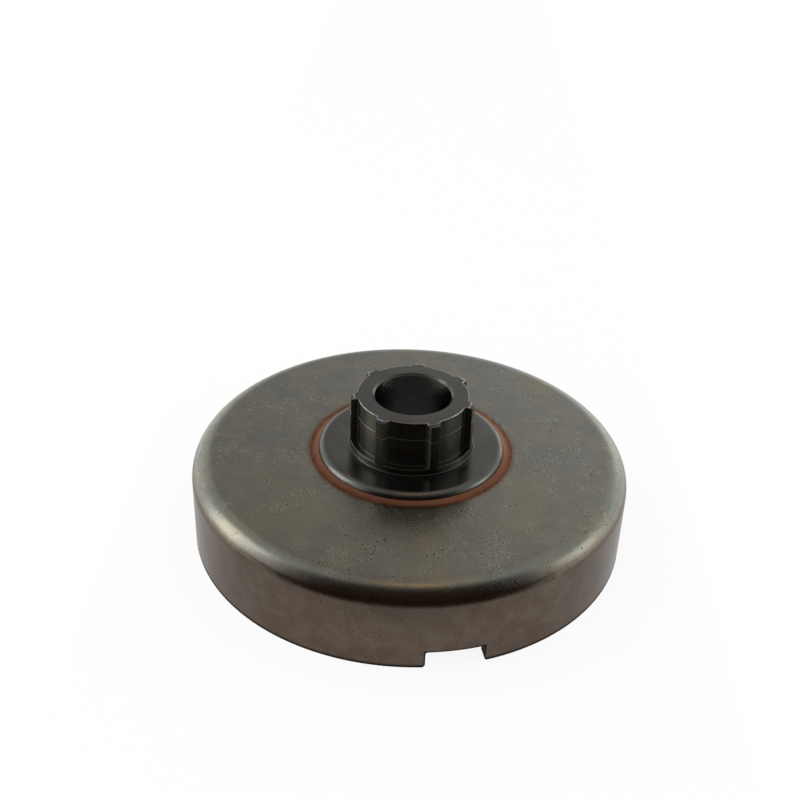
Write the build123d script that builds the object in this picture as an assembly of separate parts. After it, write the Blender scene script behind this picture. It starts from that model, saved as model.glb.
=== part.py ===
from build123d import *
import math
import os

# Clutch drum of a chainsaw: a drawn steel cup, mouth down, with a splined hub brazed to its web.
# The origin is the middle of the rim's plane, +Z runs up the hub and -Y is the front. Millimetres.

# Drum cup
drum_diameter = 75.0
drum_height = 15.3
sheet_thickness = 2.0
inside_corner = 1.5         # legs of the slope between the wall and the web inside

# Notch in the rim
notch_width = 9.35
notch_height = 3.1
notch_angle = 13.2          # degrees round from the front, towards +X
notch_corner_round = 0.4
notch_mouth_round = 0.7

# Spigot of the hub, through the web
spigot_diameter = 24.0
spigot_clearance = 0.05
spigot_projection = 0.8
spigot_chamfer = 0.3

# Flange and shoulder of the hub
flange_diameter = 32.0
flange_thickness = 1.35
flange_chamfer = 0.7        # on the flange's upper edge
shoulder_height = 1.25      # from the flange to the end of the grooves
shoulder_step = 0.25        # how far the shoulder's foot stands out past the splines
shoulder_foot = 0.25        # straight part of the shoulder, below its cone
groove_foot = 0.15          # cone between the shoulder and the floor of each groove

# Splines
spline_count = 7
spline_minor_diameter = 19.0
spline_depth = 1.1
spline_tip_width = 1.5
spline_flank_angle = 20.0   # degrees, each flank from the spline's middle line
spline_root_round = 0.25
spline_length = 8.3
spline_angle = 22.4         # degrees round from the front to the first spline, towards +X
lead_length = 3.2           # the end of the splines is cut a little smaller
lead_relief = 0.06
end_cone_width = 0.55       # the splines' ends fall away in a shallow cone
end_cone_height = 0.3

# Bore
bore_diameter = 13.0
bore_chamfer = 0.35

# Braze fillet round the flange
braze_width = 1.5
braze_height = 0.35

# Sizes that follow
front = -90.0               # degrees from +X round to the front
drum_radius = drum_diameter / 2
inner_radius = drum_radius - sheet_thickness
web_underside = drum_height - sheet_thickness
outside_corner_radius = inside_corner + sheet_thickness
spigot_radius = spigot_diameter / 2
spigot_bottom = web_underside - spigot_projection
flange_radius = flange_diameter / 2
flange_top = drum_height + flange_thickness
minor_radius = spline_minor_diameter / 2
spline_radius = minor_radius + spline_depth
shoulder_radius = spline_radius + shoulder_step
shoulder_top = flange_top + shoulder_height
hub_top = shoulder_top + spline_length
lead_bottom = hub_top - lead_length
lead_radius = spline_radius - lead_relief
bore_radius = bore_diameter / 2


def turned(corners):
    # Solid of revolution about Z from corners of (radius, height, rounding).
    points = [(radius, height) for radius, height, rounding in corners]
    rounds = [rounding for radius, height, rounding in corners]
    section = make_face(FilletPolyline(*points, radius=rounds, close=True))
    return revolve(Plane.XZ * section, Axis.Z)


def notch_cutter():
    # The notch's outline, with its mouth rounded out into the rim, run from the axis out through the wall.
    half = notch_width / 2
    reach = half + 2 * notch_mouth_round
    below = -notch_height
    corners = [
        (-reach, below, 0),
        (-reach, 0, 0),
        (-half, 0, notch_mouth_round),
        (-half, notch_height, notch_corner_round),
        (half, notch_height, notch_corner_round),
        (half, 0, notch_mouth_round),
        (reach, 0, 0),
        (reach, below, 0),
    ]
    points = [(across, height) for across, height, rounding in corners]
    rounds = [rounding for across, height, rounding in corners]
    outline = make_face(FilletPolyline(*points, radius=rounds, close=True))
    turn = math.radians(front + notch_angle)
    outwards = (math.cos(turn), math.sin(turn), 0)
    across = (-math.sin(turn), math.cos(turn), 0)
    return extrude(Plane((0, 0, 0), x_dir=across, z_dir=outwards) * outline, drum_diameter)


def drum_cup():
    # One sheet thickness all round, with a hole for the spigot and a notch in the rim.
    hole_radius = spigot_radius + spigot_clearance
    cup = turned([
        (hole_radius, web_underside, 0),
        (hole_radius, drum_height, 0),
        (drum_radius, drum_height, outside_corner_radius),
        (drum_radius, 0, 0),
        (inner_radius, 0, 0),
        (inner_radius, web_underside - inside_corner, 0),
        (inner_radius - inside_corner, web_underside, 0),
    ])
    return cup - notch_cutter()


def hub_base():
    # Spigot, flange, shoulder and the foot of the grooves, with the lower part of the bore.
    return turned([
        (bore_radius + bore_chamfer, spigot_bottom, 0),
        (spigot_radius - spigot_chamfer, spigot_bottom, 0),
        (spigot_radius, spigot_bottom + spigot_chamfer, 0),
        (spigot_radius, drum_height, 0),
        (flange_radius, drum_height, 0),
        (flange_radius, flange_top - flange_chamfer, 0),
        (flange_radius - flange_chamfer, flange_top, 0),
        (shoulder_radius, flange_top, 0),
        (shoulder_radius, flange_top + shoulder_foot, 0),
        (spline_radius, shoulder_top, 0),
        (minor_radius + groove_foot, shoulder_top, 0),
        (minor_radius, shoulder_top + groove_foot, 0),
        (bore_radius, shoulder_top + groove_foot, 0),
        (bore_radius, spigot_bottom + bore_chamfer, 0),
    ])


def spline_envelope():
    # The turned form that the splines are cut from: lead-in step and end cone.
    return turned([
        (bore_radius, shoulder_top, 0),
        (spline_radius, shoulder_top, 0),
        (spline_radius, lead_bottom, 0),
        (lead_radius, lead_bottom, 0),
        (lead_radius, hub_top - end_cone_height, 0),
        (lead_radius - end_cone_width, hub_top, 0),
        (bore_radius + bore_chamfer, hub_top, 0),
        (bore_radius, hub_top - bore_chamfer, 0),
    ])


def spline_section(relief):
    # Cross-section of the splines, drawn in by the relief and left long at the tips.
    root = minor_radius - relief
    inside = root - spline_depth
    outside = shoulder_radius
    slope = math.tan(math.radians(spline_flank_angle))
    half_tip = spline_tip_width / 2 - relief

    def half_width(radius):
        return half_tip + (spline_radius - radius) * slope

    tooth = make_face(Polyline(
        (inside, -half_width(inside)),
        (outside, -half_width(outside)),
        (outside, half_width(outside)),
        (inside, half_width(inside)),
        close=True,
    ))
    section = Sketch() + Circle(root)
    for place in PolarLocations(0, spline_count, start_angle=front + spline_angle):
        section += place * tooth
    roots = [corner for corner in section.vertices() if abs(Vector(corner).length - root) < lead_relief / 2]
    return fillet(roots, spline_root_round)


def splined_hub():
    # Base and splines in one piece.
    body = extrude(Pos(0, 0, shoulder_top) * spline_section(0), lead_bottom - shoulder_top)
    lead = extrude(Pos(0, 0, lead_bottom) * spline_section(lead_relief), lead_length)
    return hub_base() + (spline_envelope() & (body + lead))


def braze_ring():
    # Shallow fillet in the corner between the flange's edge and the web.
    return turned([
        (flange_radius, drum_height, 0),
        (flange_radius + braze_width, drum_height, 0),
        (flange_radius, drum_height + braze_height, 0),
    ])


os.makedirs("parts", exist_ok=True)
for node, shape in [("drum_cup", drum_cup()), ("splined_hub", splined_hub()), ("braze_ring", braze_ring())]:
    shape.label = node
    export_step(shape, f"parts/{node}.step")
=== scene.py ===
import bpy
import bmesh
import math
from mathutils import Matrix, Vector, noise


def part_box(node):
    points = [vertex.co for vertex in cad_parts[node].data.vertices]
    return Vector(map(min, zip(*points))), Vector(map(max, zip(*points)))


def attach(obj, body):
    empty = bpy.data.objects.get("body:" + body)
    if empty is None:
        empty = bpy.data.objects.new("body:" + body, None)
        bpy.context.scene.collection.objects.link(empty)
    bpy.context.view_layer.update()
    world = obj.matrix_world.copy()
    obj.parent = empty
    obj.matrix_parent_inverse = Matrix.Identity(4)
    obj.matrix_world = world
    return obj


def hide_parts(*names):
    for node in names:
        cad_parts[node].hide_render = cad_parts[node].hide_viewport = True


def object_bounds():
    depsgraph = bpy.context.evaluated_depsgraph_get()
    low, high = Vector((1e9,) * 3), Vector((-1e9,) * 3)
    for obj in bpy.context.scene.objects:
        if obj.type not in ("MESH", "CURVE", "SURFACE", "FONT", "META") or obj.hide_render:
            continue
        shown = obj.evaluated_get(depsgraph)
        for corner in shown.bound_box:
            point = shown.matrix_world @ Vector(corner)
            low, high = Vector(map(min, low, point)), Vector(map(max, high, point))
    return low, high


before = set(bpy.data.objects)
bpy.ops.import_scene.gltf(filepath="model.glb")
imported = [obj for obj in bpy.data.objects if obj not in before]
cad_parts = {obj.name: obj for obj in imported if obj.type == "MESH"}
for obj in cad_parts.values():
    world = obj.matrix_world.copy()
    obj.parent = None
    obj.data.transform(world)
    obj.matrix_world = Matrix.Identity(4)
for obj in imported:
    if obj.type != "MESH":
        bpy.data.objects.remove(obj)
cadLow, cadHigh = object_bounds()
cupLow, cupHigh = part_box("drum_cup")
hubLow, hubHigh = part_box("splined_hub")
brazeLow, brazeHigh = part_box("braze_ring")
mm = 0.001
fullTurn = 2 * math.pi
mergeDistance = 0.001 * mm
scene = bpy.context.scene
scene.view_settings.view_transform = "Standard"
print("frame loaded:", ", ".join(sorted(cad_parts)))


# shader sums: a socket that can be added, multiplied and fed on

class Link:
    def __init__(self, tree, socket=None):
        self.tree = tree
        self.socket = socket

    def node(self, kind, settings, inputs, output=0):
        made = self.tree.nodes.new(kind)
        for name, value in settings.items():
            setattr(made, name, value)
        for name, value in inputs.items():
            if isinstance(value, Link):
                self.tree.links.new(value.socket, made.inputs[name])
            else:
                made.inputs[name].default_value = value
        return Link(self.tree, made.outputs[output] if made.outputs else None)

    def maths(self, operation, *terms):
        return self.node("ShaderNodeMath", {"operation": operation}, dict(enumerate(terms)))

    def __add__(self, other):
        return self.maths("ADD", self, other)

    def __radd__(self, other):
        return self.maths("ADD", other, self)

    def __sub__(self, other):
        return self.maths("SUBTRACT", self, other)

    def __rsub__(self, other):
        return self.maths("SUBTRACT", other, self)

    def __mul__(self, other):
        return self.maths("MULTIPLY", self, other)

    def __rmul__(self, other):
        return self.maths("MULTIPLY", other, self)

    def __truediv__(self, other):
        return self.maths("DIVIDE", self, other)

    def __pow__(self, other):
        return self.maths("POWER", self, other)

    # 0 below low, 1 above high, soft between
    def rise(self, low, high):
        return self.node("ShaderNodeMapRange", {"interpolation_type": "SMOOTHSTEP"},
                         {"Value": self, "From Min": low, "From Max": high})

    def colour(self, low, high):
        return self.node("ShaderNodeMix", {"data_type": "RGBA"}, {0: self, 6: low, 7: high}, 2)

    def shaded(self, level):
        return self.node("ShaderNodeVectorMath", {"operation": "SCALE"}, {0: self, "Scale": level})

    def split(self):
        return [self.node("ShaderNodeSeparateXYZ", {}, {0: self}, axis) for axis in range(3)]


def tone(red, green, blue):
    return (red, green, blue, 1.0)


def newMaterial(name):
    material = bpy.data.materials.new(name)
    material.use_nodes = True
    material.node_tree.nodes.clear()
    return material, Link(material.node_tree)


def grain(link, place, scale, detail=2.0, rough=0.5):
    return link.node("ShaderNodeTexNoise", {},
                     {"Vector": place, "Scale": scale, "Detail": detail, "Roughness": rough})


def metal(link, colour, roughness, height, look):
    bump = link.node("ShaderNodeBump", {}, {"Height": height, "Distance": look["bumpDepth"]})
    skin = link.node("ShaderNodeBsdfPrincipled", {},
                     {"Base Color": colour, "Roughness": roughness, "Metallic": 1.0,
                      "Specular Tint": look["grazing"], "Normal": bump})
    link.node("ShaderNodeOutputMaterial", {}, {"Surface": skin})


# the three metals

drumSteel = {
    "webOlive": tone(0.194, 0.189, 0.152),
    "webBlue": tone(0.168, 0.176, 0.161),
    # the wall's tones are partly its own brown tint and partly painted shade: darker than the web, standing
    # in for the shaded floor that the wall mirrors
    "wallTone": tone(0.108, 0.086, 0.069),
    "wallBrown": tone(0.086, 0.062, 0.046),
    "rimShadeHeight": 9.0 * mm,        # painted shade: the wall gets darker and browner from here down to the rim, standing in for the shade near the floor
    "wallBlotch": 0.2,           # shares of blotches, clouds and the painted rim shade in the wall's tone
    "wallCloud": 0.4,
    "rimShadeShare": 0.4,
    "edgeTone": tone(0.012, 0.010, 0.009),
    "edgeHeight": 0.70 * mm,     # painted contact shade: the rim's edge is dark up to here, where it meets the floor
    "edgeRagged": 0.3 * mm,
    "edgeRough": 0.45,
    "notchDark": 0.10 * mm,      # the notch's faces and edges are dark too
    "notchFade": 0.32 * mm,
    "cornerTop": 14.7 * mm,
    "cornerFoot": 12.4 * mm,
    "stainTone": tone(0.15, 0.100, 0.070),
    "stainFrom": 17.3 * mm,
    "stainTo": 18.4 * mm,
    "stainRagged": 1.0 * mm,
    "blotch": 90.0,
    "blotchShare": 0.7,          # the rest is clouds
    "cloud": 300.0,
    "toneSpread": (0.38, 0.62),  # noise levels between which one tone turns into the other
    "speckle": 2600.0,
    "speckleShare": 0.6,         # the rest is clouds
    "speckleDepth": 0.75,
    "speckleBump": 0.25,
    "patch": 230.0,              # small pits lie in patches
    "patchSpread": (0.49, 0.61),
    "pits": 1220.0,
    "pitCore": 0.20,             # a pit's floor, edge and rim, as shares of the pits' spacing
    "pitEdge": 0.42,
    "pitRim": 0.62,
    "rimShare": 0.70,
    "pitDepth": 0.60,
    "pitBump": 0.6,
    "wallPolish": 0.50,          # share of the pits that the wall has lost
    "roughness": 0.28,
    "roughnessSpan": 0.10,
    "bumpDepth": 0.02 * mm,
    "grazing": tone(0.80, 0.79, 0.78),       # tint of the shine along the limb
}


def makeDrumSteel():
    look = drumSteel
    material, link = newMaterial("drum_steel")
    place = link.node("ShaderNodeTexCoord", {}, {}, "Object")
    x, y, height = place.split()
    radius = (x * x + y * y) ** 0.5
    cloud = grain(link, place, look["cloud"], detail=4.0, rough=0.6)
    blotch = grain(link, place, look["blotch"]) * look["blotchShare"] + cloud * (1 - look["blotchShare"])
    speckle = grain(link, place, look["speckle"], detail=3.0, rough=0.6)
    onWall = 1.0 - height.rise(look["cornerFoot"], look["cornerTop"])
    patch = grain(link, place, look["patch"], detail=3.0, rough=0.6).rise(*look["patchSpread"])
    spread = look["toneSpread"]
    pits = pitMarks(link, place) * patch * speckle.rise(*spread) * (1.0 - onWall * look["wallPolish"])
    web = blotch.rise(*spread).colour(look["webBlue"], look["webOlive"])
    stain = 1.0 - (radius + (cloud - 0.5) * look["stainRagged"]).rise(look["stainFrom"], look["stainTo"])
    web = stain.colour(web, look["stainTone"])
    # the wall's tone: random blotches and clouds, plus painted shade that darkens it towards the rim
    light = (blotch.rise(*spread) * look["wallBlotch"] + cloud.rise(*spread) * look["wallCloud"]
             + height.rise(0.0, look["rimShadeHeight"]) * look["rimShadeShare"])
    wall = light.colour(look["wallBrown"], look["wallTone"])
    # painted contact shade along the rim's foot; the notch's faces and edges are darkened too
    edge = 1.0 - (height - cloud * look["edgeRagged"]).rise(0.0, look["edgeHeight"])
    edge = edge.maths("MAXIMUM", edge, notchEdge(x, y, height))
    skin = edge.colour(onWall.colour(web, wall), look["edgeTone"])
    mottle = speckle * look["speckleShare"] + cloud * (1 - look["speckleShare"]) - 0.5
    shade = 1.0 + mottle * look["speckleDepth"] + pits * look["pitDepth"]
    roughness = look["roughness"] + (speckle - 0.5) * look["roughnessSpan"] + edge * look["edgeRough"]
    relief = speckle * look["speckleBump"] + pits * look["pitBump"]
    metal(link, skin.shaded(shade), roughness, relief, look)
    return material


def pitMarks(link, place):
    # below 0 in a pit, above 0 on its raised rim
    look = drumSteel
    apart = link.node("ShaderNodeTexVoronoi", {"feature": "F1"},
                      {"Vector": place, "Scale": look["pits"]}, "Distance")
    climb = apart.rise(look["pitCore"], look["pitEdge"])
    return climb * (1.0 - apart.rise(look["pitEdge"], look["pitRim"])) * look["rimShare"] - (1.0 - climb)


def notchEdge(x, y, height):
    # 1 on the faces of the notch and close to its edges
    look, size = drumSteel, drumCup
    turn = math.radians(size["notchAngle"])
    across = x * math.cos(turn) + y * math.sin(turn)
    outwards = x * math.sin(turn) - y * math.cos(turn)
    aside = across.maths("ABSOLUTE", across) - size["notchWidth"] / 2
    apart = aside.maths("MAXIMUM", aside, height - size["notchHeight"])
    near = 1.0 - apart.maths("ABSOLUTE", apart).rise(look["notchDark"], look["notchFade"])
    return near * outwards.rise(0.0, cupHigh.x / 2)


hubSteel = {
    "bright": tone(0.126, 0.129, 0.121),
    "dark": tone(0.108, 0.111, 0.103),
    # painted light and shade by face: the flange's top, the shoulder, the top face with its end cones and
    # the bore are darkened against the groove sides, to stand in for how light falls on each
    "flangePaintedShade": 0.78,         # painted shade: the flange's top is darker than the groove sides
    "shoulderPaintedShade": 0.55,
    "endPaintedShade": 0.62,
    "borePaintedShade": 0.80,
    "paintedShadeSpan": 0.1 * mm,       # how soon one face's painted shade turns into the next
    "boreSpan": 0.02 * mm,
    "bare": tone(0.34, 0.34, 0.33),          # rubbed edges
    "blotch": 260.0,
    "blotchMiddle": 0.4,
    "toneSpread": (0.35, 0.65),
    "turningPitch": 0.18 * mm,
    "honing": 7.0,               # the bore's marks run deeper than the turned faces'
    "roughness": 0.21,
    "roughnessSpan": 0.08,
    "bumpDepth": 0.002 * mm,
    "grazing": tone(0.92, 0.92, 0.91),
}


def makeHubSteel():
    look = hubSteel
    material, link = newMaterial("hub_steel")
    place = link.node("ShaderNodeTexCoord", {}, {}, "Object")
    x, y, z = place.split()
    radius = (x * x + y * y) ** 0.5
    blotch = grain(link, place, look["blotch"], detail=4.0, rough=0.6)
    outside = radius.rise(splinedHub["boreRadius"], splinedHub["boreRadius"] + look["boreSpan"])
    along = (radius * outside + z * (1.0 - outside)) * (fullTurn / look["turningPitch"])
    turning = along.maths("SINE", along) * (look["honing"] + outside * (1 - look["honing"]))
    roughness = look["roughness"] + (blotch - look["blotchMiddle"]) * look["roughnessSpan"]
    flangeTop = cupHigh.z + splinedHub["flangeThickness"]
    shoulderTop = flangeTop + splinedHub["shoulderHeight"]
    endCone = hubHigh.z - splinedHub["endConeHeight"]
    span = look["paintedShadeSpan"]
    shoulder = z.rise(flangeTop, flangeTop + span)
    sides = z.rise(shoulderTop - span, shoulderTop + span)
    end = z.rise(endCone - span, endCone)
    # painted shade by face: each face's share of light is set by its height, and the bore is darkened
    level = (look["flangePaintedShade"] + shoulder * (look["shoulderPaintedShade"] - look["flangePaintedShade"])
             + sides * (1 - look["shoulderPaintedShade"]) - end * (1 - look["endPaintedShade"]))
    level = level * (look["borePaintedShade"] + outside * (1 - look["borePaintedShade"]))
    colour = blotch.rise(*look["toneSpread"]).colour(look["dark"], look["bright"])
    wear = link.node("ShaderNodeAttribute", {"attribute_name": "wear"}, {}, "Fac")
    metal(link, wear.colour(colour.shaded(level), look["bare"]), roughness, turning, look)
    return material


brazeCopper = {
    "bright": tone(0.154, 0.070, 0.045),
    "burnt": tone(0.074, 0.025, 0.012),
    "blotch": 500.0,
    "blotchShare": 0.5,
    "speckle": 3000.0,
    "speckleShare": 0.2,
    "brightness": 0.4,
    "outerBurn": 0.25,           # the bead gets darker outwards
    "toneSpread": (0.35, 0.65),
    "roughness": 0.33,
    "roughnessSpan": 0.2,
    "bumpShare": 0.5,            # of blotches, and the rest is speckles
    "bumpDepth": 0.03 * mm,
    "grazing": tone(0.80, 0.72, 0.66),
}


def makeBrazeCopper():
    look = brazeCopper
    material, link = newMaterial("braze_copper")
    place = link.node("ShaderNodeTexCoord", {}, {}, "Object")
    blotch = grain(link, place, look["blotch"], detail=4.0, rough=0.6)
    speckle = grain(link, place, look["speckle"], detail=2.0, rough=0.6)
    x, y, z = place.split()
    out = ((x * x + y * y) ** 0.5).rise(hubHigh.x, brazeHigh.x)
    level = (blotch * look["blotchShare"] + speckle * look["speckleShare"] + look["brightness"]
             - out * look["outerBurn"])
    colour = level.rise(*look["toneSpread"]).colour(look["burnt"], look["bright"])
    roughness = look["roughness"] + (speckle - 0.5) * look["roughnessSpan"]
    relief = blotch * look["bumpShare"] + speckle * (1 - look["bumpShare"])
    metal(link, colour, roughness, relief, look)
    return material


# mesh helpers

def keepPiece(name, bm, node, material, sharpAngle):
    mesh = bpy.data.meshes.new(name)
    bm.to_mesh(mesh)
    bm.free()
    mesh.shade_smooth()
    mesh.set_sharp_from_angle(angle=math.radians(sharpAngle))
    mesh.materials.append(material)
    piece = bpy.data.objects.new(name, mesh)
    scene.collection.objects.link(piece)
    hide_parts(node)
    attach(piece, "root")
    print(name, len(mesh.polygons), "faces")
    return piece


def sectionFace(bm, corners, arcSteps):
    # a flat face in the XZ plane from corners of (across, height, rounding)
    verts = [bm.verts.new((across, 0, height)) for across, height, rounding in corners]
    bm.faces.new(verts)
    for vert, (across, height, rounding) in zip(verts, corners):
        if rounding:
            bmesh.ops.bevel(bm, geom=[vert], offset=rounding, offset_type="OFFSET", affect="VERTICES",
                            segments=arcSteps, profile=0.5, material=-1)


def spinSection(bm, steps, longest, hold):
    # long straight runs get a vertex near each end, so that smooth shading keeps them flat
    for run in [edge for edge in bm.edges if edge.calc_length() > longest]:
        share = hold / run.calc_length()
        rest, corner = bmesh.utils.edge_split(run, run.verts[0], share)
        long = max((rest, run), key=lambda edge: edge.calc_length())
        bmesh.utils.edge_split(long, long.verts[0] if corner == long.verts[1] else long.verts[1], share)
    bmesh.ops.delete(bm, geom=bm.faces[:], context="FACES_ONLY")
    bmesh.ops.spin(bm, geom=bm.verts[:] + bm.edges[:], cent=(0, 0, 0), axis=(0, 0, 1),
                   angle=fullTurn, steps=steps, use_merge=True)
    bmesh.ops.remove_doubles(bm, verts=bm.verts[:], dist=mergeDistance)
    bmesh.ops.recalc_face_normals(bm, faces=bm.faces[:])


# drawn cup with its notch

drumCup = {
    "sheet": 2.0 * mm,
    "cornerRound": 3.5 * mm,
    "rimRound": 0.12 * mm,
    "holeRadius": 12.05 * mm,
    "notchWidth": 9.35 * mm,
    "notchHeight": 3.1 * mm,
    "notchAngle": 13.2,          # degrees round from the front, towards +X
    "notchCornerRound": 0.4 * mm,
    "notchMouthRound": 0.7 * mm,
    "turnSteps": 240,
    "arcSteps": 14,
    "notchSteps": 8,
    "longRun": 4.0 * mm,
    "hold": 0.15 * mm,
    "sharpAngle": 35,
}


def makeNotchCutter():
    size = drumCup
    half = size["notchWidth"] / 2
    reach = half + 2 * size["notchMouthRound"]
    below = -size["notchHeight"]
    bm = bmesh.new()
    sectionFace(bm, [
        (-reach, below, 0),
        (-reach, 0, 0),
        (-half, 0, size["notchMouthRound"]),
        (-half, size["notchHeight"], size["notchCornerRound"]),
        (half, size["notchHeight"], size["notchCornerRound"]),
        (half, 0, size["notchMouthRound"]),
        (reach, 0, 0),
        (reach, below, 0),
    ], size["notchSteps"])
    made = bmesh.ops.extrude_face_region(bm, geom=bm.faces[:])["geom"]
    outer = [part for part in made if isinstance(part, bmesh.types.BMVert)]
    bmesh.ops.translate(bm, verts=outer, vec=(0, -2 * cupHigh.x, 0))
    bmesh.ops.recalc_face_normals(bm, faces=bm.faces[:])
    bmesh.ops.rotate(bm, verts=bm.verts[:], cent=(0, 0, 0),
                     matrix=Matrix.Rotation(math.radians(size["notchAngle"]), 3, "Z"))
    mesh = bpy.data.meshes.new("notch_cutter")
    bm.to_mesh(mesh)
    bm.free()
    cutter = bpy.data.objects.new("notch_cutter", mesh)
    scene.collection.objects.link(cutter)
    return cutter


def cutNotch(bm):
    blank = bpy.data.meshes.new("drum_blank")
    bm.to_mesh(blank)
    bm.free()
    body = bpy.data.objects.new("drum_blank", blank)
    scene.collection.objects.link(body)
    cutter = makeNotchCutter()
    cut = body.modifiers.new("notch", "BOOLEAN")
    cut.object = cutter
    cut.operation = "DIFFERENCE"
    cut.solver = "EXACT"
    graph = bpy.context.evaluated_depsgraph_get()
    done = bmesh.new()
    done.from_object(body, graph)
    for helper in (body, cutter):
        bpy.data.objects.remove(helper)
    return done


def makeDrum():
    size = drumCup
    outer = cupHigh.x
    inner = outer - size["sheet"]
    top = cupHigh.z
    under = top - size["sheet"]
    bm = bmesh.new()
    sectionFace(bm, [
        (size["holeRadius"], under, 0),
        (size["holeRadius"], top, 0),
        (outer, top, size["cornerRound"]),
        (outer, cupLow.z, size["rimRound"]),
        (inner, cupLow.z, size["rimRound"]),
        (inner, under, size["cornerRound"] - size["sheet"]),
    ], size["arcSteps"])
    spinSection(bm, size["turnSteps"], size["longRun"], size["hold"])
    cup = cutNotch(bm)
    return keepPiece("drum_shell", cup, "drum_cup", makeDrumSteel(), size["sharpAngle"])


# hub with its splines, built ring by ring from the spigot round to the bore

splinedHub = {
    "splines": 7,
    "firstSpline": 22.4,         # degrees round from the front, towards +X
    "minorRadius": 9.5 * mm,
    "splineDepth": 1.1 * mm,
    "tipWidth": 1.5 * mm,
    "flankAngle": 20.0,
    "rootBlend": 0.12,           # share of the flank that runs out into the floor
    "leadLength": 3.2 * mm,
    "leadRelief": 0.035 * mm,
    "endConeWidth": 0.55 * mm,
    "endConeHeight": 0.3 * mm,
    "edgeBreak": 0.16 * mm,
    "edgeWear": 0.8,             # how far the broken edge varies along its length
    "wearScale": 1900.0,
    "wornMiddle": 0.3,           # where the worn edge is rubbed bare, as a share of its width
    "wornHold": 1.4,
    "footWear": 0.15,
    "hold": 0.08 * mm,
    "shoulderRadius": 10.85 * mm,
    "shoulderHeight": 1.25 * mm,
    "shoulderFoot": 0.25 * mm,
    "shoulderBreak": 0.05 * mm,
    "coneHold": 0.1,             # share of the shoulder's cone up to its first ring
    "grooveFoot": 0.03 * mm,
    "flangeThickness": 1.35 * mm,
    "edgeRound": 1.2 * mm,       # the flange's edge is well rounded
    "edgeSteps": 10,
    "flatShares": (0.9, 0.5, 0.1, 0.0),      # rings on the flange's flat, from its edge to the shoulder
    "spigotRadius": 12.0 * mm,
    "spigotChamfer": 0.3 * mm,
    "boreRadius": 6.5 * mm,
    "boreChamfer": 0.35 * mm,
    "tipSteps": 6,
    "flankSteps": 3,
    "blendSteps": 5,
    "floorSteps": 14,
    "sharpAngle": 32,
}


def splineSpans():
    # half angles of a spline's tip and root, and the angle between two splines
    size = splinedHub
    depth = size["splineDepth"]
    rootHalf = size["tipWidth"] / 2 + depth * math.tan(math.radians(size["flankAngle"]))
    return (size["tipWidth"] / 2 / (size["minorRadius"] + depth), rootHalf / size["minorRadius"],
            fullTurn / size["splines"])


def splineAngles():
    # angles of one ring's vertices, crowded on the flanks, for all the splines
    size = splinedHub
    tipHalf, rootHalf, pitch = splineSpans()
    blend = (rootHalf - tipHalf) * size["rootBlend"]
    spans = [
        (-tipHalf, tipHalf, size["tipSteps"]),
        (tipHalf, rootHalf - blend, size["flankSteps"]),
        (rootHalf - blend, rootHalf + blend, size["blendSteps"]),
        (rootHalf + blend, pitch - rootHalf - blend, size["floorSteps"]),
        (pitch - rootHalf - blend, pitch - rootHalf + blend, size["blendSteps"]),
        (pitch - rootHalf + blend, pitch - tipHalf, size["flankSteps"]),
    ]
    onePitch = [start + (end - start) * step / steps for start, end, steps in spans for step in range(steps)]
    first = math.radians(size["firstSpline"] - 90)
    return [first + pitch * turn + angle for turn in range(size["splines"]) for angle in onePitch]


def splineOffset(angle):
    # angle from the middle of the nearest spline
    pitch = splineSpans()[2]
    first = math.radians(splinedHub["firstSpline"] - 90)
    return abs((angle - first + pitch / 2) % pitch - pitch / 2)


def splineRadius(off):
    # straight flank from the tip, then a short blend on to the floor
    size = splinedHub
    tipHalf, rootHalf, pitch = splineSpans()
    blend = size["rootBlend"]
    left = 1 - max((off - tipHalf) / (rootHalf - tipHalf), 0.0)
    if left < -blend:
        left = 0.0
    elif left < blend:
        left = (left + blend) ** 2 / (4 * blend)
    return size["minorRadius"] + size["splineDepth"] * left


# a ring gives radius, height and wear for each angle

def turnedRing(radius, height, wear=0.0):
    return lambda angle: (radius, height, wear)


def splinedRing(grow, height):
    return lambda angle: (splineRadius(splineOffset(angle)) + grow, height, 0.0)


def ledgeRing(least, height):
    # the grooves end on the shoulder, and the splines run on into it
    return lambda angle: (max(splineRadius(splineOffset(angle)), least), height, 0.0)


def wornEdge(angle):
    # width of the broken top edge, uneven as a file leaves it
    size = splinedHub
    spot = Vector((math.cos(angle), math.sin(angle), 0)) * size["minorRadius"] * size["wearScale"]
    return size["edgeBreak"] * (1 + size["edgeWear"] * noise.noise(spot))


def wornRing(height, limit, inwards, downwards, wear=0.0):
    relief = splinedHub["leadRelief"]
    return lambda angle: (min(splineRadius(splineOffset(angle)) - relief, limit) - inwards * wornEdge(angle),
                          height - downwards * wornEdge(angle), wear)


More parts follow.
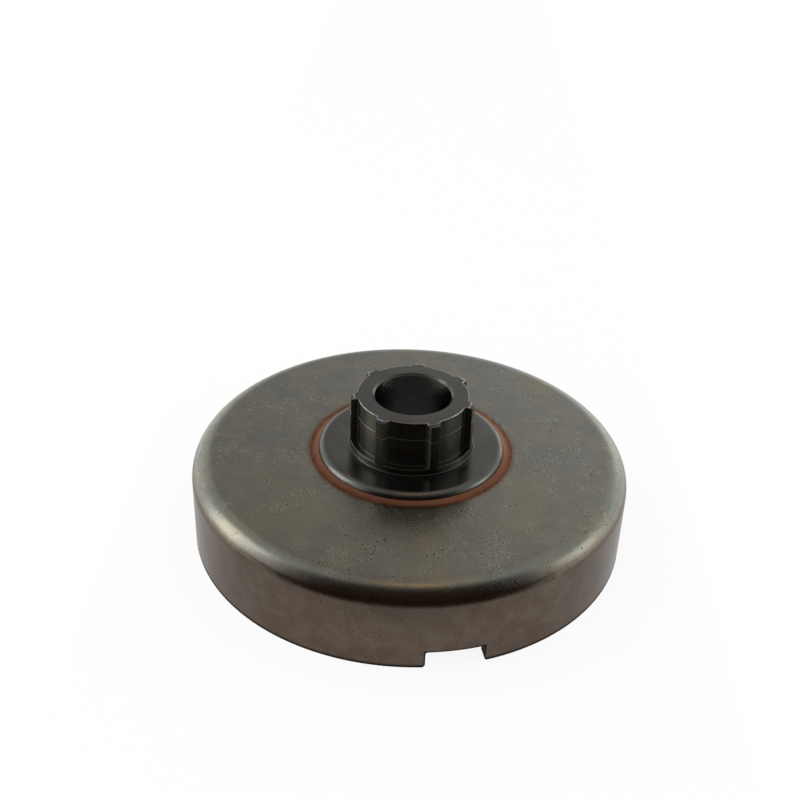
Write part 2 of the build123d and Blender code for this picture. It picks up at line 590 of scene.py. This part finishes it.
def hubRings():
    size = splinedHub
    bottom, top = hubLow.z, hubHigh.z
    flangeRadius = hubHigh.x
    flangeTop = cupHigh.z + size["flangeThickness"]
    footTop = flangeTop + size["shoulderFoot"]
    shoulderTop = flangeTop + size["shoulderHeight"]
    tipRadius = size["minorRadius"] + size["splineDepth"]
    lead = top - size["leadLength"]
    endCone = top - size["endConeHeight"]
    endTip = tipRadius - size["endConeWidth"]
    hold = size["hold"]
    relief = size["leadRelief"]
    rings = [
        turnedRing(size["spigotRadius"] - size["spigotChamfer"], bottom),
        turnedRing(size["spigotRadius"], bottom + size["spigotChamfer"]),
        turnedRing(size["spigotRadius"], cupHigh.z),
        turnedRing(flangeRadius, cupHigh.z),
    ]
    edge = size["edgeRound"]
    turns = [math.pi / 2 * step / size["edgeSteps"] for step in range(size["edgeSteps"] + 1)]
    rings += [turnedRing(flangeRadius - edge * (1 - math.cos(turn)), flangeTop - edge * (1 - math.sin(turn)))
              for turn in turns]
    shoulder = size["shoulderRadius"]
    flat = flangeRadius - edge - shoulder
    rings += [turnedRing(shoulder + flat * share, flangeTop) for share in size["flatShares"]]
    lip = size["shoulderBreak"]
    coneFoot = shoulder - lip
    first = size["coneHold"]
    worn = size["wornMiddle"]
    rings += [
        turnedRing(shoulder, footTop - lip),
        turnedRing(coneFoot, footTop, size["footWear"]),
        turnedRing(coneFoot - (coneFoot - tipRadius) * first, footTop + (shoulderTop - footTop) * first),
        turnedRing(tipRadius, shoulderTop - lip),
        ledgeRing(tipRadius - lip, shoulderTop),
        ledgeRing(size["minorRadius"] + size["grooveFoot"], shoulderTop),
        splinedRing(0, shoulderTop + size["grooveFoot"]),
        splinedRing(0, shoulderTop + size["grooveFoot"] + hold),
        splinedRing(0, lead - relief - hold),
        splinedRing(0, lead - relief),
        splinedRing(-relief, lead),
        splinedRing(-relief, lead + hold),
        splinedRing(-relief, endCone - hold),
        splinedRing(-relief, endCone),
        wornRing(top, endTip, 0, 1),
        wornRing(top, endTip, worn, worn, 1.0),
        wornRing(top, endTip, 1, 0),
        wornRing(top, endTip, size["wornHold"], 0),
        turnedRing(size["boreRadius"] + 2 * size["boreChamfer"], top),
        turnedRing(size["boreRadius"] + size["boreChamfer"], top),
        turnedRing(size["boreRadius"], top - size["boreChamfer"]),
        turnedRing(size["boreRadius"], bottom + size["boreChamfer"]),
        turnedRing(size["boreRadius"] + size["boreChamfer"], bottom),
    ]
    return rings


def makeHub():
    size = splinedHub
    bm = bmesh.new()
    rubbed = bm.verts.layers.float.new("wear")
    angles = splineAngles()
    made = bmesh.ops.create_circle(bm, segments=len(angles), radius=1.0)
    for vert, angle in zip(made["verts"], angles):
        vert.co = Vector((math.cos(angle), math.sin(angle), 0)) * (size["boreRadius"] + size["boreChamfer"])
        vert.co.z = hubLow.z
    ring = bm.edges[:]
    for place in hubRings():
        grown = bmesh.ops.extrude_edge_only(bm, edges=ring)["geom"]
        for vert in [part for part in grown if isinstance(part, bmesh.types.BMVert)]:
            angle = math.atan2(vert.co.y, vert.co.x)
            radius, height, wear = place(angle)
            vert.co = Vector((radius * math.cos(angle), radius * math.sin(angle), height))
            vert[rubbed] = wear
        ring = [part for part in grown if isinstance(part, bmesh.types.BMEdge)]
    bmesh.ops.remove_doubles(bm, verts=bm.verts[:], dist=mergeDistance)
    bmesh.ops.recalc_face_normals(bm, faces=bm.faces[:])
    return keepPiece("splined_hub_body", bm, "splined_hub", makeHubSteel(), size["sharpAngle"])


# braze bead in the corner of the flange

brazeBead = {
    "hollow": 0.08 * mm,
    "slopeCuts": 7,
    "wander": 0.10 * mm,         # the outer edge strays inwards by about this much
    "wanderMiddle": 0.6,
    "wanderScale": 160.0,
    "turnSteps": 240,
    "sharpAngle": 50,
}


def makeBraze():
    size = brazeBead
    inner, outer = hubHigh.x, brazeHigh.x
    foot, head = brazeLow.z, brazeHigh.z
    bm = bmesh.new()
    sectionFace(bm, [(inner, foot, 0), (outer, foot, 0), (inner, head, 0)], 1)
    slope = [edge for edge in bm.edges
             if all(abs(vert.co.x - inner) + abs(vert.co.z - foot) > 0 for vert in edge.verts)]
    cuts = bmesh.ops.subdivide_edges(bm, edges=slope, cuts=size["slopeCuts"])["geom_inner"]
    for vert in [part for part in cuts if isinstance(part, bmesh.types.BMVert)]:
        across = (vert.co.x - inner) / (outer - inner)
        vert.co.z -= size["hollow"] * 4 * across * (1 - across)
    bmesh.ops.delete(bm, geom=bm.faces[:], context="FACES_ONLY")
    bmesh.ops.spin(bm, geom=bm.verts[:] + bm.edges[:], cent=(0, 0, 0), axis=(0, 0, 1),
                   angle=fullTurn, steps=size["turnSteps"], use_merge=True)
    bmesh.ops.remove_doubles(bm, verts=bm.verts[:], dist=mergeDistance)
    for vert in bm.verts:
        radius = math.hypot(vert.co.x, vert.co.y)
        across = (radius - inner) / (outer - inner)
        stray = noise.noise(vert.co * size["wanderScale"]) - size["wanderMiddle"]
        pull = across * size["wander"] * stray
        vert.co.x += pull * vert.co.x / radius
        vert.co.y += pull * vert.co.y / radius
    bmesh.ops.recalc_face_normals(bm, faces=bm.faces[:])
    return keepPiece("braze_bead", bm, "braze_ring", makeBrazeCopper(), size["sharpAngle"])


makeDrum()
makeHub()
makeBraze()
print("pieces made")


# floor, light and camera

floorLook = {
    "halfSize": 1.5,
    "drop": 0.05 * mm,
    "paint": tone(0.85, 0.85, 0.85),
    "whiteShare": 0.90,
    "shutRadius": 29.0 * mm,     # inside the drum the floor gets little light
    "shutFade": 1.0 * mm,
    "shutShare": 0.20,
    "frontNear": 0.042,          # the floor that metal mirrors fades out in front of the part
    "frontFar": 0.068,
    "sideNear": 0.050,           # and brightens to its left and right
    "sideFar": 0.080,
    "sideWhite": tone(2.0, 2.0, 1.95),
}


def makeFloor():
    bm = bmesh.new()
    bmesh.ops.create_grid(bm, x_segments=1, y_segments=1, size=floorLook["halfSize"])
    bmesh.ops.translate(bm, verts=bm.verts[:], vec=(0, 0, cadLow.z - floorLook["drop"]))
    mesh = bpy.data.meshes.new("floor")
    bm.to_mesh(mesh)
    bm.free()
    material, link = newMaterial("floor_paper")
    x, y, z = link.node("ShaderNodeTexCoord", {}, {}, "Object").split()
    radius = (x * x + y * y) ** 0.5
    shut = radius.rise(floorLook["shutRadius"], floorLook["shutRadius"] + floorLook["shutFade"])
    glossy = link.node("ShaderNodeLightPath", {}, {}, "Is Glossy Ray")
    front = (0.0 - y).rise(floorLook["frontNear"], floorLook["frontFar"]) * glossy
    seen = seenRay(link) * (floorLook["shutShare"] + shut * (1 - floorLook["shutShare"]))
    plain = link.node("ShaderNodeBsdfDiffuse", {}, {"Color": floorLook["paint"]})
    side = x.maths("ABSOLUTE", x).rise(floorLook["sideNear"], floorLook["sideFar"])
    white = link.node("ShaderNodeEmission", {},
                      {"Color": side.colour(tone(1, 1, 1), floorLook["sideWhite"]), "Strength": 1.0})
    dark = link.node("ShaderNodeEmission", {}, {"Color": frontCard["tone"], "Strength": 1.0})
    mixed = link.node("ShaderNodeMixShader", {}, {0: seen * floorLook["whiteShare"], 1: plain, 2: white})
    mixed = link.node("ShaderNodeMixShader", {}, {0: front, 1: mixed, 2: dark})
    below = link.node("ShaderNodeNewGeometry", {}, {}, "Backfacing")     # clear from below
    clear = link.node("ShaderNodeBsdfTransparent", {}, {})
    mixed = link.node("ShaderNodeMixShader", {}, {0: below, 1: mixed, 2: clear})
    link.node("ShaderNodeOutputMaterial", {}, {"Surface": mixed})
    mesh.materials.append(material)
    floor = bpy.data.objects.new("floor", mesh)
    scene.collection.objects.link(floor)


def seenRay(link):
    camera, glossy, through = [link.node("ShaderNodeLightPath", {}, {}, name)
                               for name in ("Is Camera Ray", "Is Glossy Ray", "Is Transmission Ray")]
    return link.maths("MINIMUM", camera + glossy + through, 1.0)


studio = {
    "ceiling": tone(0.57, 0.49, 0.44),
    "horizon": tone(1.13, 1.18, 1.26),
    "ceilingAside": tone(0.82, 0.81, 0.77),  # left and right of the middle the room is lighter
    "horizonAside": tone(1.45, 1.45, 1.42),
    "asideFrom": 0.12,
    "asideTo": 0.45,
    "rightward": 0.75,           # the middle is lighter on the right than on the left by this share
    "rightwardSpan": 0.35,
    "horizonLow": 0.21,          # sine of the elevation where the horizon's glow starts to fall off
    "horizonTop": 0.70,
    "front": tone(0.28, 0.255, 0.23),      # dark round patch of the room, behind the camera
    "frontMiddle": (0.12, -0.95, 0.28),
    "frontEdge": 0.30,           # cosines of the angles where the patch fades out and is full
    "frontCore": 0.75,
}


def makeWorld():
    world = bpy.data.worlds.new("studio")
    scene.world = world
    world.use_nodes = True
    world.node_tree.nodes.clear()
    link = Link(world.node_tree)
    x, y, z = link.node("ShaderNodeTexCoord", {}, {}, "Generated").split()
    low = 1.0 - z.rise(studio["horizonLow"], studio["horizonTop"])
    span = studio["rightwardSpan"]
    gain = 1.0 + (x.rise(-span, span) - 0.5) * studio["rightward"]
    middle = low.colour(studio["ceiling"], studio["horizon"]).shaded(gain)
    sides = low.colour(studio["ceilingAside"], studio["horizonAside"])
    white = x.maths("ABSOLUTE", x).rise(studio["asideFrom"], studio["asideTo"]).colour(middle, sides)
    across, along, up = studio["frontMiddle"]
    front = (x * across + y * along + z * up).rise(studio["frontEdge"], studio["frontCore"])
    glossy = link.node("ShaderNodeLightPath", {}, {}, "Is Glossy Ray")
    room = glossy.colour(tone(1, 1, 1), front.colour(white, studio["front"]))
    sky = link.node("ShaderNodeBackground", {}, {"Color": room})
    link.node("ShaderNodeOutputWorld", {}, {"Surface": sky})


frontCard = {
    # a dark card bent round the front, which only mirroring metal sees
    "tone": tone(0.050, 0.024, 0.014),
    "radius": 56.0 * mm,
    "height": 66.0 * mm,
    "fadeFrom": 34.0 * mm,
    "turn": 124.0,               # degrees of arc
    "steps": 48,
    "middle": (0.03, -0.9995),
    "edge": 0.60,                # cosines of the angles where the card fades out and is full
    "core": 0.92,
}


def makeFrontCard():
    card = frontCard
    bm = bmesh.new()
    foot = bm.verts.new((0, -card["radius"], cadLow.z))
    head = bm.verts.new((0, -card["radius"], cadLow.z + card["height"]))
    bm.edges.new((foot, head))
    bmesh.ops.rotate(bm, verts=bm.verts[:], cent=(0, 0, 0),
                     matrix=Matrix.Rotation(math.radians(-card["turn"] / 2), 3, "Z"))
    bmesh.ops.spin(bm, geom=bm.verts[:] + bm.edges[:], cent=(0, 0, 0), axis=(0, 0, 1),
                   angle=math.radians(card["turn"]), steps=card["steps"])
    mesh = bpy.data.meshes.new("front_card")
    bm.to_mesh(mesh)
    bm.free()
    material, link = newMaterial("front_card")
    x, y, z = link.node("ShaderNodeTexCoord", {}, {}, "Object").split()
    across, along = card["middle"]
    facing = (x * across + y * along) / card["radius"]
    full = facing.rise(card["edge"], card["core"]) * (1.0 - z.rise(card["fadeFrom"], card["height"]))
    clear = link.node("ShaderNodeBsdfTransparent", {}, {})
    dark = link.node("ShaderNodeEmission", {}, {"Color": card["tone"], "Strength": 1.0})
    mixed = link.node("ShaderNodeMixShader", {}, {0: full, 1: clear, 2: dark})
    link.node("ShaderNodeOutputMaterial", {}, {"Surface": mixed})
    mesh.materials.append(material)
    piece = bpy.data.objects.new("front_card", mesh)
    scene.collection.objects.link(piece)
    piece.visible_camera = False
    piece.visible_diffuse = False
    piece.visible_transmission = False
    piece.visible_shadow = False


lamps = {
    # name: direction from the part, distance, width, height, radiance, colour
    "left_panel": ((-0.95, 0.02, 0.30), 0.45, 0.22, 0.44, 2.5, (1.0, 0.98, 0.94)),
    "right_panel": ((0.95, 0.0, 0.29), 0.45, 0.15, 0.22, 1.5, (1.0, 1.0, 0.98)),
    "back_panel": ((0.54, 0.82, 0.20), 0.50, 0.20, 0.16, 0.8, (1.0, 1.0, 1.0)),
    "top_lamp": ((0.03, -0.25, 1.0), 0.45, 0.12, 0.10, 1.15, (1.0, 0.55, 0.12)),
}


def makeLamps():
    for name, (direction, distance, width, height, radiance, colour) in lamps.items():
        lamp = bpy.data.lights.new(name, "AREA")
        lamp.shape = "RECTANGLE"
        lamp.size = width
        lamp.size_y = height
        lamp.energy = math.pi * width * height * radiance
        lamp.color = colour
        panel = bpy.data.objects.new(name, lamp)
        outwards = Vector(direction).normalized()
        panel.matrix_world = (Matrix.Translation(outwards * distance)
                              @ outwards.to_track_quat("Z", "Y").to_matrix().to_4x4())
        panel.visible_camera = False
        scene.collection.objects.link(panel)


cameraView = {
    "place": (0.002163, -0.166347, 0.126995),
    "downTilt": 31.506,
    "roll": 2.753,
    "lens": 51.99,
    "sensor": 36.0,
    "shiftAcross": -0.0324,
    "nearest": 0.01,
}


def makeCamera():
    lens = bpy.data.cameras.new("camera")
    lens.lens = cameraView["lens"]
    lens.sensor_width = cameraView["sensor"]
    lens.shift_x = cameraView["shiftAcross"]
    lens.clip_start = cameraView["nearest"]
    eye = bpy.data.objects.new("camera", lens)
    eye.matrix_world = (Matrix.Translation(cameraView["place"])
                        @ Matrix.Rotation(math.radians(90 - cameraView["downTilt"]), 4, "X")
                        @ Matrix.Rotation(math.radians(cameraView["roll"]), 4, "Z"))
    scene.collection.objects.link(eye)
    scene.camera = eye


makeFloor()
makeFrontCard()
makeWorld()
makeLamps()
makeCamera()
print("floor, light and camera set")
